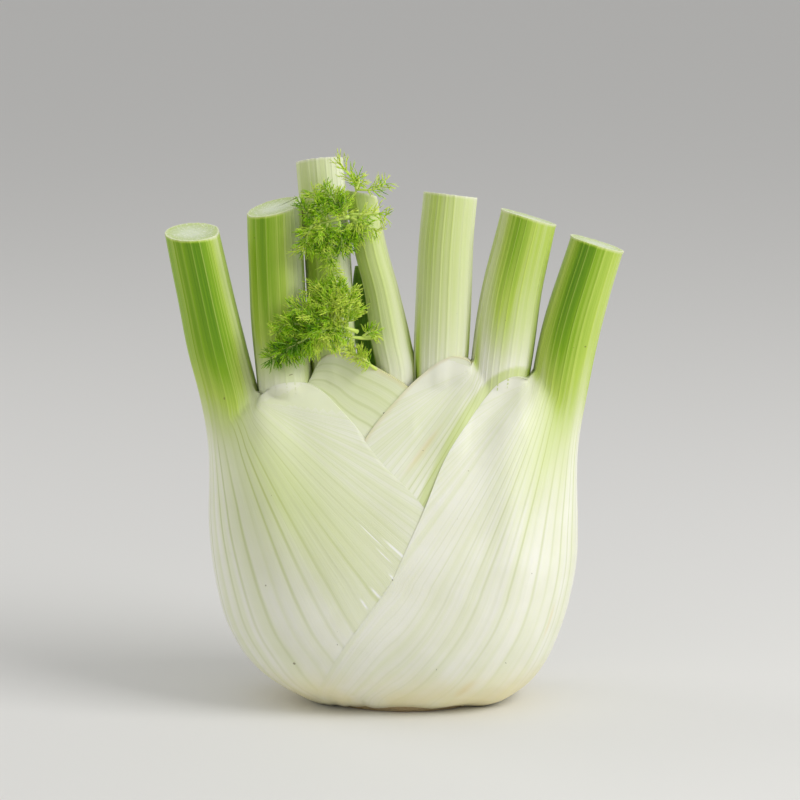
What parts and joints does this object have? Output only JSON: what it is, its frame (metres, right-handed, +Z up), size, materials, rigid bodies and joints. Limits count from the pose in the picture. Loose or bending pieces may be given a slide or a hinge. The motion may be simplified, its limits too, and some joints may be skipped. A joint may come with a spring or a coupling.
{
  "type": "fennel bulb",
  "caption": "Trimmed fresh fennel bulb standing on its root plate: overlapping pale sheaths, short cut green stalks and small feathery fronds at the heart.",
  "frame": {"origin": "on the flat underside of the root plate, near its middle", "axes": "+Z up along the stalks, +X to the right across the row of stalks, +Y through the thinner way of the bulb, front towards -Y"},
  "size_m": [0.1368, 0.0754, 0.1709],
  "materials": {
    "leaf": "moist satin plant skin, ivory at the sheath and green on the stalk, with fine lengthwise veins",
    "young_leaf": "satin dark green leaf",
    "frond": "soft satin bright green thread-like leaflets",
    "root": "matt cut root tissue, cream with brown rings"
  },
  "bodies": {
    "root": {"root_plate": "root", "heart_leaf": "leaf", "young_leaf": "young_leaf", "left_leaf_3": "leaf", "right_leaf_3": "leaf", "left_leaf_2": "leaf", "right_leaf_2": "leaf", "left_leaf_1": "leaf", "right_leaf_1": "leaf", "lower_frond": "frond", "upper_frond": "frond", "inner_frond": "frond"}
  },
  "joints": []
}
